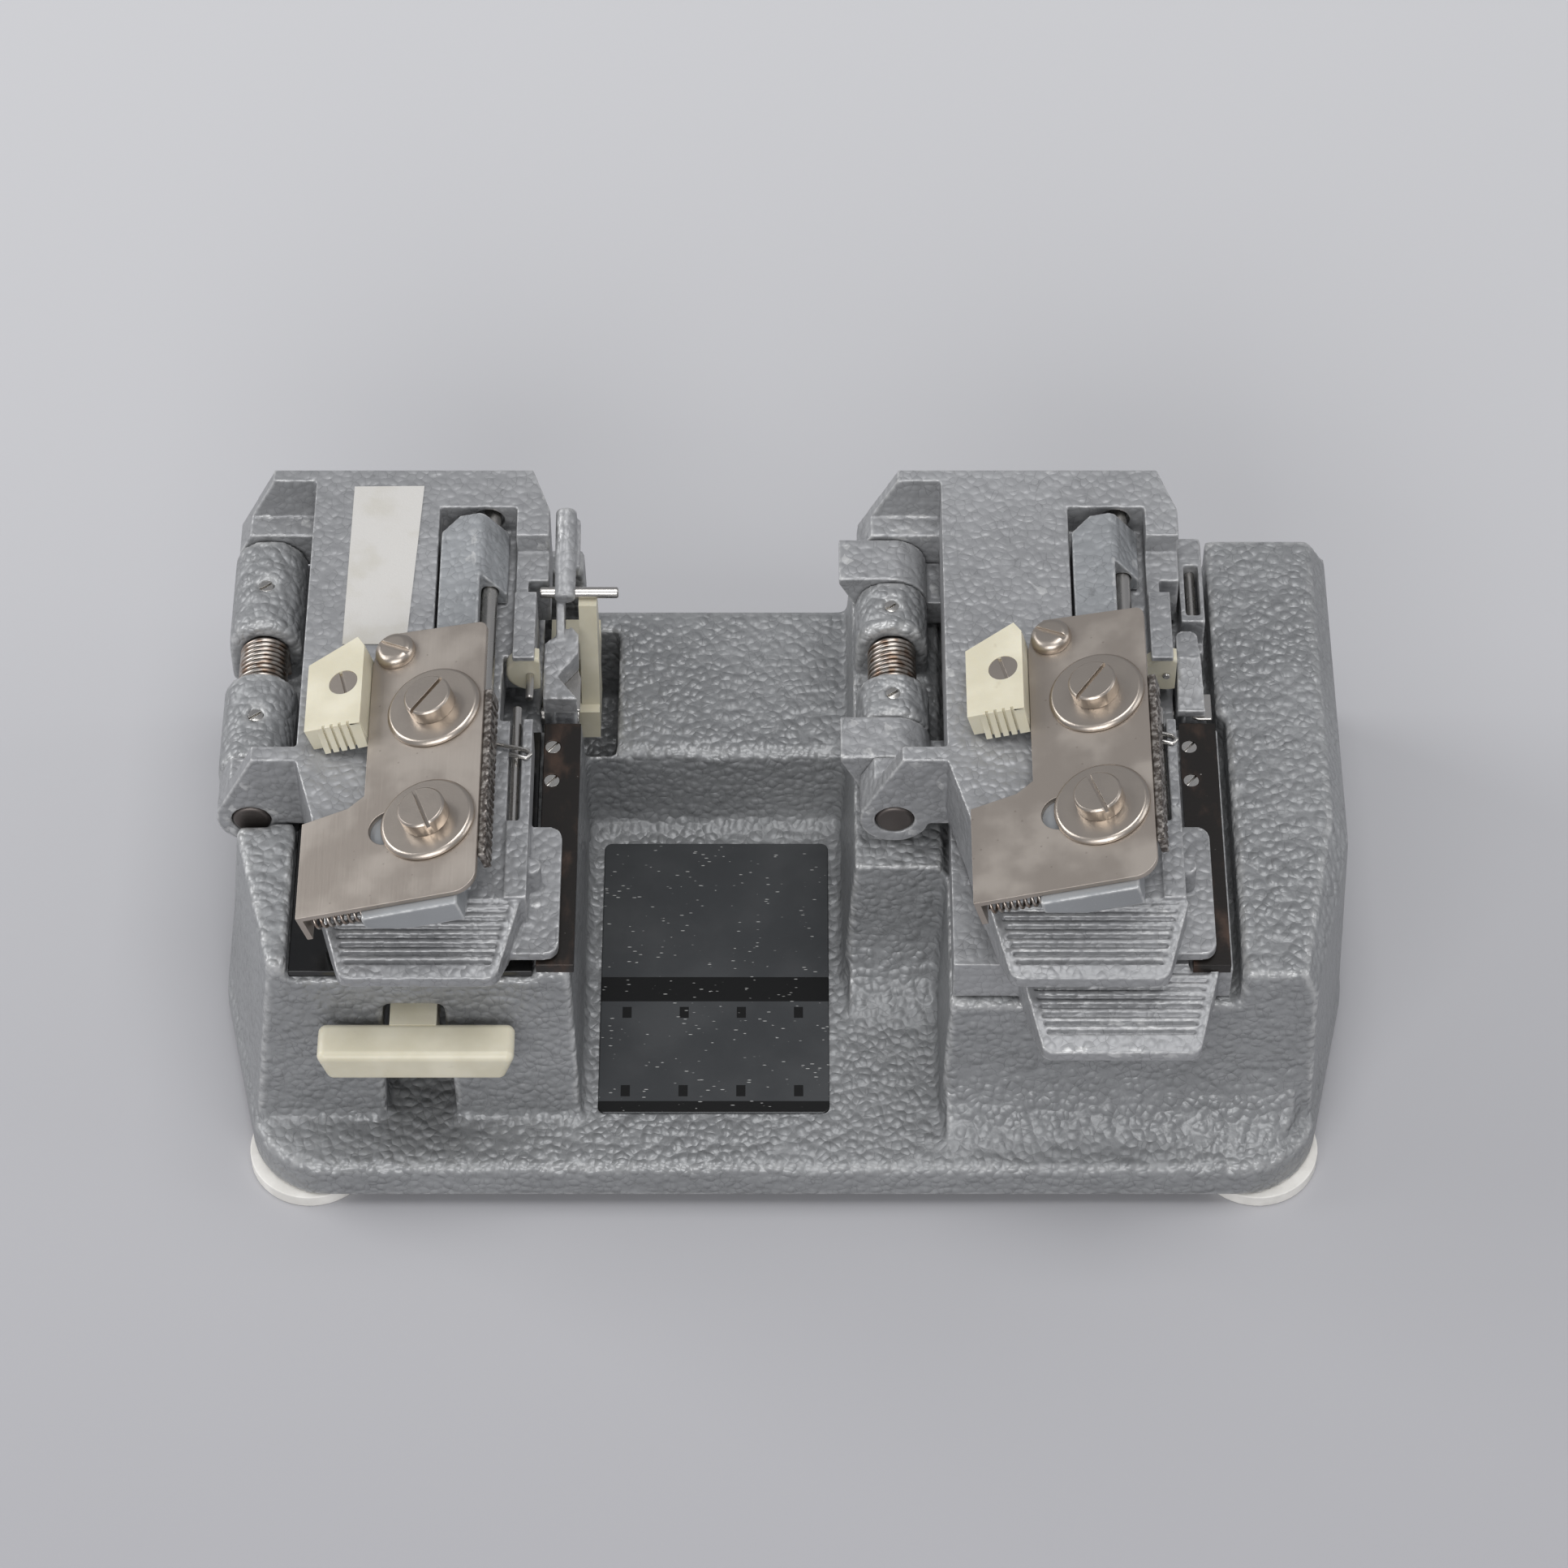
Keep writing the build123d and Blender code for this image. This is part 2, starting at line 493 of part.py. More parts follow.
def jaw_top(x0, tab_x):
    """Upper jaw casting with its lugs, scraper recess, presser foot and thumb tab."""
    bottom = FILM_Z + GAP
    plan = [(JAW_EDGE, JAW_REAR), (SHOULDER_X - 2.4, JAW_REAR), (SHOULDER_X, JAW_REAR - 7.0),
            (SHOULDER_X, SHOULDER_Y), (JAW_SIDE - 1.2, SHOULDER_Y), (JAW_SIDE - 1.2, SHOULDER_Y - 2.4),
            (JAW_SIDE, SHOULDER_Y - 2.6), (JAW_SIDE, 34.1), (30.0, 34.1), (30.0, TAB_BACK),
            (11.2, TAB_BACK), (9.0, 7.0), (JAW_EDGE, LUG_FACE_Y)]
    jaw = prism_z(shifted(plan, x0), (bottom, JAW_TOP))
    strip = [(29.0, 26.0), (JAW_SIDE, 26.0), (JAW_SIDE, TAB_BACK), (29.0, TAB_BACK)]
    jaw += prism_z(shifted(strip, x0), (bottom, STRIP_Z))
    jaw += box((x0 + 29.0, x0 + 32.2), (25.9, 35.0), (bottom, STRIP_Z))
    # lugs on the hinge shaft
    jaw += lug(x0, (LUG_FACE_Y, FRONT_LUG_Y), JAW_TOP)
    jaw += lug(x0, (REAR_LUG_Y, JAW_REAR), JAW_TOP)
    jaw -= box((x0 - 8, x0 + JAW_EDGE), (REAR_LUG_Y - 1, JAW_REAR - RIM_T), (HINGE_Z + KNUCKLE_R + 0.4, ABOVE))
    jaw -= box((x0 - 8, x0 + JAW_EDGE), (LUG_FACE_Y + 2.4, FRONT_LUG_Y + 1), (HINGE_Z + KNUCKLE_R + 0.4, ABOVE))
    # presser foot over the knife bar
    foot = box((x0 + JAW_SIDE - 4, x0 + FOOT_X), (FOOT_Y0, FOOT_Y1), (bottom, FOOT_TOP))
    jaw += fillet(foot.edges().filter_by(Axis.Z).group_by(Axis.X)[-1], FOOT_R_CORNER)
    jaw += rod_z(x0 + JAW_SIDE + 0.4, 3.0, (FOOT_TOP - 1, STRIP_Z - 1.2), 1.3)
    # recess of the scraper slide and the deeper side towards the film
    jaw -= box((x0 + RECESS_X, x0 + 33.6), (TAB_BACK - 10, RECESS_REAR), (RECESS_Z, ABOVE))
    jaw -= box((x0 + 33.5, x0 + SHOULDER_X + 1), (45.4, RECESS_REAR - 5.0), (STRIP_Z + 1.2, ABOVE))
    jaw -= box((x0 + 33.5, x0 + JAW_SIDE + 1), (0, 45.5), (STRIP_Z + 2.6, ABOVE))
    # hollow under the rail for the cream button, and the bore of its pin
    jaw -= box((x0 + BUTTON_X - BUTTON_R - GAP, x0 + SHOULDER_X), (34.0, BUTTON_Y[1] + SEAT), (bottom - 1, ROOF_Z))
    jaw -= rod_y(x0 + BUTTON_PIN_X, (34.0, BUTTON_PIN_REAR), BUTTON_Z, BUTTON_PIN_R + SEAT / 2)
    jaw += thumb_tab(tab_x, TAB_BACK, TAB_FRONT, TAB_Z, TAB_FRONT + 1.9)
    # bores: hinge shaft, guide rod, side rod groove
    jaw -= rod_y(x0, (0, 80), HINGE_Z, SHAFT_R + RUN)
    jaw -= rod_y(x0 + ROD_X, (ROD_FRONT - 3, JAW_REAR - 2), ROD_Z, ROD_R)
    jaw -= rod_y(x0 + ROD_X - 0.6, (RECESS_REAR - 0.1, RECESS_REAR + 1.2), ROD_Z - 0.4, 2.1)
    jaw -= box((x0 + 33.6, x0 + 35.2), (9.4, 28.4), (STRIP_Z - 1.6, ABOVE))
    return jaw


def thumb_tab(centre, back, front, top, first_groove):
    """Ribbed lip by which a jaw is lifted."""
    half_back, half_front = TAB_W_BACK / 2, TAB_W_FRONT / 2
    plan = [(centre - half_back, back), (centre + half_back, back), (centre + half_front, front),
            (centre - half_front, front)]
    tab = prism_z(plan, (top - TAB_T - TAB_DROP, top + 0.6))
    tab = fillet(tab.edges().filter_by(Axis.Z).group_by(Axis.Y)[0], 1.6)
    wedge = prism_x([(back + 1, top), (front - 1, top - TAB_DROP), (front - 1, top + 4), (back + 1, top + 4)],
                    (centre - 20, centre + 20))
    under = prism_x([(back - 3, top - TAB_T - TAB_DROP - 1), (front - 1, top - TAB_T - TAB_DROP - 1),
                     (front - 1, top - TAB_DROP - TAB_EDGE)], (centre - 20, centre + 20))
    tab = tab - wedge - under
    for index in range(GROOVES):
        y = first_groove + index * GROOVE_PITCH
        share = (back - y) / (back - front)
        z = top - TAB_DROP * share
        reach = half_back + (half_front - half_back) * share - TAB_RIM
        groove = box((centre - reach, centre + reach), (y, y + GROOVE_W), (z - 0.55, z + 2))
        tab -= fillet(groove.edges().filter_by(Axis.Z), GROOVE_W * 0.3)
    return tab


def guide_rod(x0):
    return rod_y(x0 + ROD_X, (ROD_FRONT - 2.8, JAW_REAR - 2.2), ROD_Z, ROD_R - 0.01)


def side_rod(x0):
    return rod_y(x0 + 34.4, (9.4, 28.4), STRIP_Z - 0.95, SIDE_ROD_R)


def hairpin(x0, y, wire=CLIP_WIRE):
    """Thin wire clip that reaches from the scraper slide to the side of the jaw."""
    z = STRIP_Z + CLIP_WIRE + 2 * SEAT
    left, right, pitch = x0 + 28.4, x0 + JAW_SIDE - 0.6, 1.3
    path = Polyline((left, y + 0.6, z), (right, y - 1.2, z), (right + 0.5, y - 1.2 - pitch / 2, z),
                    (right, y - 1.2 - pitch, z), (left + 5.2, y - pitch - 0.6, z))
    return Part() + sweep(Plane(path @ 0, z_dir=path % 0) * Circle(wire), path=path, transition=Transition.RIGHT)


def film_track():
    """Black strip in the floor of the left film channel."""
    return box((LEFT_X + JAW_EDGE - 0.6, LEFT_X + BAR_X[0] - 0.5), (BLOCK_FRONT + 0.4, BAR_Y[1]),
               (TRACK_SEAT, TRACK_SEAT + TRACK_T))


def left_rocker():
    """Arm behind the left knife bar: a V-shaped head, and a round finger with the pin hole."""
    left, right = LEFT_X + ARM_X[0], LEFT_X + ARM_X[1]
    low, top = FILM_Z + 0.4, FILM_Z + 4.2
    head_plan = [(left, 32.5), (right, 32.5), (left + 1.9, 36.2), (right - 0.1, 39.8), (right - 0.1, 43.0),
                 (right - 1.1, 44.2), (left, 41.4)]
    head = prism_z(head_plan, (low, top))
    slope = prism_x([(30, top - 1.0), (44, top + 0.2), (44, ABOVE), (30, ABOVE)], (left - 1, right + 1))
    arm = head - slope + rocker_root(left, right)
    middle = LEFT_X + FINGER_X
    arm += prism_x([(40.9, low), (45.5, low), (51.5, low + 7.2), (50.4, low + 9.0), (46.6, low + 7.0),
                    (41.5, top - 0.2)], (middle - FINGER_R + 0.2, middle - 0.1))
    front, rear = Vector(middle, PIN_Y - 1.5, PIN_Z + 0.3), Vector(middle, *FINGER_END)
    along = rear - front
    finger = extrude(Plane(front, z_dir=along) * Circle(FINGER_R), amount=along.length)
    arm += fillet(finger.edges().filter_by(GeomType.CIRCLE), 0.35)
    arm += prism_x([(50.2, low + 7.0), (57.0, low + 9.4), (57.0, low + 10.8), (50.2, low + 9.0)],
                   (middle + 0.2, middle + FINGER_R + 0.5))
    arm -= rod_x((left - 5, right + 9), PIN_Y, PIN_Z, PIN_R + SEAT / 2)
    return arm - rod_x((left - 1, right + 1), PIVOT_Y, PIVOT_Z, AXLE_R + RUN)


def rocker_root(left, right):
    """Web and hub by which a rocker arm turns on its axle."""
    web = prism_x([(PIVOT_Y - 2.2, PIVOT_Z), (PIVOT_Y + 2.2, PIVOT_Z), (41.0, FILM_Z + 1), (33.0, FILM_Z + 1)],
                  (left, left + 1.2))
    return web + rod_x((left, right - 0.3), PIVOT_Y, PIVOT_Z, AXLE_R + 1.4)


def right_rocker():
    """Plain arm behind the right knife bar, rounded at the rear and sloping down in front."""
    left, right = RIGHT_X + ARM_X[0], RIGHT_X + ARM_X[1]
    plan = [(left, RIGHT_ARM_Y[0]), (left + 3.7, RIGHT_ARM_Y[0]), (left + 3.2, 38.0), (left + 2.8, RIGHT_ARM_Y[1]),
            (left, RIGHT_ARM_Y[1])]
    arm = prism_z(plan, (FILM_Z + 0.4, FILM_Z + 5.0))
    arm = fillet(arm.edges().filter_by(Axis.Z).group_by(Axis.Y)[-1], 1.1)
    arm -= prism_x([(20, FILM_Z + 1.6), (RIGHT_ARM_Y[0] + 0.6, FILM_Z + 1.6), (38.2, FILM_Z + 5.0), (38.2, ABOVE),
                    (20, ABOVE)], (left - 1, right + 1))
    arm += rocker_root(left, right)
    return arm - rod_x((left - 1, right + 1), PIVOT_Y, PIVOT_Z, AXLE_R + RUN)


def left_leaf():
    """Polished steel leaf under the head of the left rocker arm."""
    left, right = LEFT_X + ARM_X[0], LEFT_X + ARM_X[1]
    plan = [(left + 1.4, 33.2), (right + 0.2, 33.0), (right + 0.2, 38.6), (right - 0.5, 41.0), (left + 1.4, 40.6)]
    return prism_z(plan, (FILM_Z - 0.06, FILM_Z + 0.4 - SEAT))


def right_leaf():
    """Polished steel leaf that curves out from under the front of the right rocker arm."""
    left = RIGHT_X + ARM_X[0]
    rear = RIGHT_ARM_Y[0] + 4.0
    leaf = box((left + 1.4, left + 4.6), (BAR_Y[1] + 0.4, rear), (FILM_Z + 0.4 - SEAT - 0.4, FILM_Z + 0.4 - SEAT))
    return fillet(leaf.edges().filter_by(Axis.Z).group_by(Axis.Y)[0][0], 1.6)


def rocker_axle(x0):
    return rod_x((x0 + ARM_X[0] - 5.8, x0 + ARM_X[1] - 0.1), PIVOT_Y, PIVOT_Z, AXLE_R - 0.01)


def lift_pin():
    pin = rod_x((LEFT_X + PIN_X[0], LEFT_X + PIN_X[1]), PIN_Y, PIN_Z, PIN_R)
    return chamfer(pin.edges(), 0.15)


def cream_button(x0):
    """Nylon button under the front of the rail, with a flat towards the rocker arm."""
    button = rod_y(x0 + BUTTON_X, BUTTON_Y, BUTTON_Z, BUTTON_R)
    button = fillet(button.edges().filter_by(GeomType.CIRCLE).sort_by(Axis.Y)[0], 0.5)
    button -= box((x0 + BUTTON_SIDE, x0 + 60), (0, 60), (0, ABOVE))
    return button - rod_y(x0 + BUTTON_PIN_X, (0, 60), BUTTON_Z, BUTTON_PIN_R + SEAT / 2)


def button_pin(x0, front):
    pin = rod_y(x0 + BUTTON_PIN_X, (front, BUTTON_PIN_REAR), BUTTON_Z, BUTTON_PIN_R)
    return fillet(pin.edges().filter_by(GeomType.CIRCLE).sort_by(Axis.Y)[0], 0.25)


# ------------------------------------------------------------------ right carrier
def carrier():
    """Swinging lower jaw of the right head, with two arms on the hinge shaft."""
    x0 = RIGHT_X
    low, top = CARRIER_Z
    body = box((x0 + CARRIER_EDGE, x0 + ARM_X[0] - GAP), (CARRIER_FRONT, 62.5), (low, top))
    body += box((x0 + 30, x0 + BAR_X[1] + 0.4), (CARRIER_FRONT, BAR_Y[1] + 0.3), (low, FILM_Z - BAR_T - SEAT))
    body += box((x0 + 34, x0 + 41.6), (43.6, 59.8), (low, top))
    frame = box((x0 + SHOULDER_X + 0.4, x0 + 41.6), (45.2, 59.8), (top - 0.1, top + 4.6))
    frame -= box((x0 + SHOULDER_X + 1.1, x0 + 41.0), (46.4, 55.0), (top + 0.8, ABOVE))
    body += fillet(frame.edges().filter_by(Axis.Z).group_by(Axis.Y)[-1], 0.5)
    for ys in (ARM_REAR, ARM_FRONT):
        arm = rod_y(x0, ys, HINGE_Z, KNUCKLE_R)
        arm += box((x0, x0 + CARRIER_EDGE + 1), ys, (HINGE_Z - KNUCKLE_R + 0.4, top))
        arm += prism_y([(x0 - 7.0, HINGE_Z + KNUCKLE_R), (x0 - 7.0, HINGE_Z + 3.8), (x0 - 4.75, HINGE_Z - 0.9),
                        (x0, HINGE_Z), (x0, HINGE_Z + KNUCKLE_R)], ys)
        body += arm - rod_y(x0, (ys[0] - 1, ys[1] + 1), HINGE_Z, SHAFT_R + RUN)
    tab_middle = x0 + 28.3
    body += thumb_tab(tab_middle, CARRIER_FRONT + 0.1, LOWER_TAB_FRONT, top - 0.2, LOWER_TAB_FRONT + 2.6)
    body -= box((x0 + BAR_X[0] - 0.3, x0 + 60), (BAR_Y[0] - 0.1, BAR_Y[1] + 0.3), (FILM_Z - BAR_T - SEAT, ABOVE))
    body -= rod_x((x0 + ARM_X[0] - 6.0, x0 + ARM_X[0] + 1), PIVOT_Y, PIVOT_Z, AXLE_R)
    return body


def carrier_rod():
    return rod_y(RIGHT_X + SHOULDER_X + 2.0, (46.4, 55.0), CARRIER_Z[1] + 2.6, 0.7)


# ------------------------------------------------------------------ scraper
def tilted(x0, middle, washer_y, solid):
    """Put a piece that was drawn flat onto the sloping plane of the scraper plate."""
    return Pos(x0 + middle, washer_y, PLATE_Z) * Rot(0, -TILT, 0) * solid


def scraper_plate():
    right, front = PLATE_RIGHT, PLATE_FRONT
    plan = [(PLATE_LEFT, PLATE_NECK + 1.6), (PLATE_LEFT, PIVOT[1] - 1.5), (PIVOT[0] - PIVOT_R, PIVOT[1] + 1.5),
            (PIVOT[0] - 1.0, PLATE_REAR + 0.2), (right, PLATE_REAR - 0.5), (right, front),
            (PLATE_WIDE, front), (PLATE_WIDE, PLATE_NECK - 1.2), (PLATE_LEFT - 2.2, PLATE_NECK)]
    plate = prism_z(plan, (-PLATE_T, 0))
    right_edges = plate.edges().filter_by(Axis.Z).group_by(Axis.X)[-1].sort_by(Axis.Y)
    plate = fillet(right_edges[0], 3.0)
    plate = fillet(plate.edges().filter_by(Axis.Z).group_by(Axis.X)[-1].sort_by(Axis.Y)[-1], 1.2)
    flange = box((PLATE_WIDE, PLATE_WIDE + PLATE_T), (front, front + 4.2), (-4.6, -PLATE_T / 2))
    plate += flange
    for y in WASHER_Y:
        travel = (PIVOT[1] - y) * sin(radians(SWING)) + 0.5
        ends = (WASHER_X - travel, WASHER_X + 0.4)
        if y < 0:
            ends = (PLATE_LEFT + SLOT_HALF + 0.9, WASHER_X + 0.4)
        half = SHANK_R + 0.5 if y > 0 else SLOT_HALF
        plate -= box(ends, (y - half, y + half), (-3, 3))
        for x in ends:
            plate -= rod_z(x, y, (-3, 3), half)
    return plate - rod_z(*PIVOT, (-3, 3), SHANK_R + RUN)


def scraper_strip():
    """Toothed strip that hangs from the right edge of the plate."""
    height = 3.2
    length = 26.0
    strip = box((PLATE_RIGHT + 0.02, PLATE_RIGHT + 1.0), (-length + 2.0, 2.6), (-height, -PLATE_T / 2))
    teeth = int(length / 1.2)
    for index in range(teeth):
        y = -length + 2.6 + index * 1.2
        strip -= Pos(PLATE_RIGHT + 1.15, y, -height / 2) * Rot(0, 0, 45) * Box(0.6, 0.6, height + 2)
    return strip


def cheese_screw(x, y, radius, height, angle, under):
    """Slotted screw whose head stands on z = under."""
    head = rod_z(x, y, (under, under + height), radius)
    head = chamfer(head.edges().group_by(Axis.Z)[-1], 0.25)
    return head - Pos(x, y, under + height) * Rot(0, 0, angle) * Box(2 * radius + 1, SCREW_SLOT, 1.6)


def washer(y):
    ring = rod_z(WASHER_X, y, (SEAT, SEAT + WASHER_T), WASHER_R)
    ring = chamfer(ring.edges().group_by(Axis.Z)[-1], 0.45)
    return ring - rod_z(WASHER_X, y, (-1, 3), SHANK_R)


def dome_screw():
    x, y = PIVOT
    head = rod_z(x, y, (SEAT, SEAT + 1.5), PIVOT_R)
    head = fillet(head.edges().group_by(Axis.Z)[-1], 1.1)
    head -= Pos(x, y, 1.7) * Rot(0, 0, -30) * Box(2 * PIVOT_R + 1, 0.7, 1.2)
    return head + rod_z(x, y, (-PLATE_T - 2.0, 0.3), SHANK_R)


def carriage(x0, middle, washer_y):
    """Slide that carries the scraper: a tilted table over a foot in the recess of the jaw."""
    table = box((-9.0, PLATE_RIGHT - 1.6), (PLATE_FRONT + 2.4, PLATE_REAR - 1.6), (-3.4, -PLATE_T - SEAT))
    ear = box((KNOB_X[0] + 2.4, -8.5), (-1.4, 9.0), (-3.0, -PLATE_T - SEAT))
    block = box((PLATE_WIDE + 8.4, PLATE_RIGHT - 2.6), (PLATE_FRONT - 1.2, PLATE_FRONT + 6), (-4.4, -PLATE_T - SEAT))
    pocket = rod_x((PLATE_WIDE + 8, PLATE_WIDE + 12.8), PUSH_Y, PUSH_Z, PUSH_R + 0.3)
    body = tilted(x0, middle, washer_y, table + ear + block - pocket)
    limit = box((x0 - 20, x0 + 60), (-60, 90), (JAW_TOP + GAP, ABOVE))
    body = body & limit
    rear = RECESS_REAR - 2.2
    foot_x = (x0 + RECESS_X + GAP, x0 + 29.2)
    body += box(foot_x, (washer_y - 24.0, washer_y + 12.0), (RECESS_Z + GAP, JAW_TOP + 1.2))
    section = [(foot_x[0], RECESS_Z + GAP), (x0 + BUSH_RIGHT, RECESS_Z + GAP), (x0 + BUSH_RIGHT, RECESS_Z + 2.2),
               (foot_x[1], JAW_TOP + 1.6), (foot_x[0], JAW_TOP + 0.2)]
    bush = prism_y(section, (washer_y + BUSH_FRONT, rear))
    bush = fillet(bush.edges().filter_by(Axis.Y).group_by(Axis.Z)[-1], 1.2)
    bush -= Pos(foot_x[0], rear, 0) * Rot(0, 0, 45) * Box(3.4, 3.4, 200)
    arm = prism_y([(foot_x[0], RECESS_Z + GAP), (foot_x[1], RECESS_Z + GAP), (foot_x[1], JAW_TOP + 1.6),
                   (foot_x[0], JAW_TOP + 0.2)], (washer_y + 11.0, washer_y + BUSH_FRONT + 0.4))
    body = body + bush + arm
    body -= rod_y(x0 + ROD_X, (-40, 90), ROD_Z, ROD_R + RUN)
    body -= hairpin(x0, washer_y + CLIP_BACK, CLIP_WIRE + SEAT)
    for y in WASHER_Y:
        body -= tilted(x0, middle, washer_y, rod_z(WASHER_X, y, (-PLATE_T - 2.6, 3), SHANK_R + SEAT))
    body -= tilted(x0, middle, washer_y, rod_z(*PIVOT, (-PLATE_T - 2.2, 3), SHANK_R + SEAT))
    body -= tilted(x0, middle, washer_y, rod_z(*KNOB_SCREW, (-PLATE_T - 0.6, 3), KNOB_SHANK_R + SEAT))
    return body


def push_spring():
    """Small spring between the flange of the plate and the block of the carriage."""
    start, length = PLATE_WIDE + PLATE_T + PUSH_WIRE, 8.0
    spring = coil(PUSH_R - PUSH_WIRE / 2, PUSH_WIRE, length, PUSH_COILS)
    return Pos(start, PUSH_Y, PUSH_Z) * Rot(0, 90, 0) * spring


def knob():
    left, right = KNOB_X
    front, rear = KNOB_Y
    plan = [(left, front), (right, front), (right, rear - 1.6), (right - 1.0, rear), (left, rear - 3.4)]
    body = prism_z(plan, (-PLATE_T, KNOB_TOP))
    nose_y, nose_z = front - 1.1, -PLATE_T
    body += prism_x([(nose_y, nose_z), (front + 0.1, nose_z), (front + 0.1, KNOB_TOP)], (left + 1.6, PLATE_LEFT - 0.2))
    ribs = int((right - left - 2.4) / KNOB_RIB)
    for index in range(ribs):
        x = left + 2.4 + index * KNOB_RIB
        body -= prism_x([(nose_y - 1, nose_z - 1), (nose_y + 0.4, nose_z - 1), (front + 0.5, KNOB_TOP),
                         (nose_y - 1, KNOB_TOP)], (x, x + 0.35))
    return body


def scraper_pieces(side, x0, middle, washer_y):
    """Write the pieces that ride on one scraper slide."""
    def put(solid):
        return tilted(x0, middle, washer_y, solid)

    write(f"{side}_scraper_carriage", carriage(x0, middle, washer_y))
    write(f"{side}_scraper_plate", put(scraper_plate()))
    write(f"{side}_scraper_strip", put(scraper_strip()))
    washers = [Part() + put(washer(y)) for y in WASHER_Y]
    write(f"{side}_washers", Compound(children=washers))
    under = SEAT + WASHER_T + SEAT
    screws = []
    for y, angle in zip(WASHER_Y, (50, -70)):
        screw = cheese_screw(WASHER_X, y, SCREW_R, SCREW_H, angle, under)
        screw += rod_z(WASHER_X, y, (-PLATE_T - 2.2, under + 0.2), SHANK_R - 0.02)
        screws.append(Part() + put(screw))
    write(f"{side}_plate_screws", Compound(children=screws))
    write(f"{side}_pivot_screw", put(dome_screw()))
    grip = knob()
    sink = KNOB_TOP - KNOB_SINK
    grip -= rod_z(*KNOB_SCREW, (sink, 20), KNOB_SCREW_R + SEAT)
    grip -= rod_z(*KNOB_SCREW, (-20, 20), KNOB_SHANK_R + SEAT)
    write(f"{side}_knob", put(grip))
    write(f"{side}_push_spring", put(push_spring()))
    screw = rod_z(*KNOB_SCREW, (sink + SEAT, KNOB_TOP - 0.1), KNOB_SCREW_R)
    screw -= Pos(*KNOB_SCREW, KNOB_TOP) * Rot(0, 0, -75) * Box(5, 0.4, 0.9)
    screw += rod_z(*KNOB_SCREW, (-PLATE_T - 0.4, sink + 0.2), KNOB_SHANK_R)
    write(f"{side}_knob_screw", put(screw))


for side, x0, middle, washer_y, pin_front in (("left", LEFT_X, 24.9, 18.9, 30.7),
                                              ("right", RIGHT_X, 26.0, 21.3, 34.3)):
    scraper_pieces(side, x0, middle, washer_y)
    write(f"{side}_upper_jaw", jaw_top(x0, x0 + middle + TAB_OFFSET))
    write(f"{side}_guide_rod", guide_rod(x0))
    write(f"{side}_side_rod", side_rod(x0))
    write(f"{side}_knife_bar", knife_bar(x0))
    write(f"{side}_bar_screws", bar_screws(x0))
    write(f"{side}_hinge_shaft", hinge_shaft(x0))
    write(f"{side}_hinge_spring", hinge_spring(x0))
    write(f"{side}_rocker_axle", rocker_axle(x0))
    write(f"{side}_jaw_button", cream_button(x0))
    write(f"{side}_button_pin", button_pin(x0, pin_front))
    write(f"{side}_wire_clip", hairpin(x0, washer_y + CLIP_BACK))

write("left_rocker_arm", left_rocker())
write("right_rocker_arm", right_rocker())
write("left_rocker_leaf", left_leaf())
write("right_rocker_leaf", right_leaf())
write("right_carrier", carrier())
write("carrier_rod", carrier_rod())
write("lift_pin", lift_pin())
write("left_film_track", film_track())
write("base_casting", base_casting())
write("base_feet", base_feet())
write("name_plate", name_plate())
write("paper_label", paper_label())
write("hinge_set_screws", set_screws())
write("press_lever", press_lever())
write("lever_pin", lever_pin())
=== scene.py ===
"""Looks of the cine film splicer: paint, metals, nylon, printed plate, lights and camera."""

import json
from math import radians

import bmesh
import bpy
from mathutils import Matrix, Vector

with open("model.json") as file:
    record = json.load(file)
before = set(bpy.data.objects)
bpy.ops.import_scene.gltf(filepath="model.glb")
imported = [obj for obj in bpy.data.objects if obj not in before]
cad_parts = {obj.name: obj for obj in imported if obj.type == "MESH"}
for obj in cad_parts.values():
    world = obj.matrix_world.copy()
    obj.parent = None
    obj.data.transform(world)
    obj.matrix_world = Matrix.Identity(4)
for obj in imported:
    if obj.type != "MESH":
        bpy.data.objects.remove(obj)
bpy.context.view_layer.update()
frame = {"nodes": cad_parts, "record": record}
nodes = frame["nodes"]
MM = 0.001

# ---- camera and frame of the picture ----
CAMERA_PLACE = (0.0, -0.4026, 0.55183)
CAMERA_ELEVATION = 52.0
CAMERA_NEAR = 0.01
IMAGE_PX = 1932
FOCAL_PX = 6150.0
SENSOR_MM = 36.0

# ---- rounding of the CAD pieces, in mm ----
WELD_GAP = 0.002
BASE_VOXEL = 0.55              # mesh width that rounds the base, and the share of faces kept
BASE_KEEP = 0.45
HEAD_VOXEL = 0.20              # the same for the heads and slides, fine enough for grooves
HEAD_KEEP = 0.30
SMOOTH_PASSES = 4
FINE_EDGE = 0.16               # bevel of machined, moulded and sheet pieces
FINE_SEGMENTS = 2
FLAT_ANGLE = radians(1.5)      # facets closer than this count as one face
EDGE_ANGLE = radians(32)       # edges sharper than this are bevelled

# ---- hammer finish ----
PEBBLE = 1.25                  # pebble width on the base, in mm
PEBBLE_FINE = 1.20             # and on the heads and slides
RELIEF = 0.34                  # depth of the relief, in mm
RELIEF_FINE = 0.17
THIN_FADE = 4.0                # stretch in which thin paint turns into pebbles, in mm
THIN_RELIEF = 0.12             # share of the relief that thin paint keeps
PAINT_BASE = (0.270, 0.275, 0.280)
PAINT_HEADS = (0.305, 0.308, 0.315)
PAINT_SLIDES = (0.290, 0.300, 0.310)
# pale edge colour: worn paint and painted highlight
BARE_METAL_AND_HIGHLIGHT = (0.66, 0.66, 0.65)
FLECK = (0.62, 0.62, 0.62)

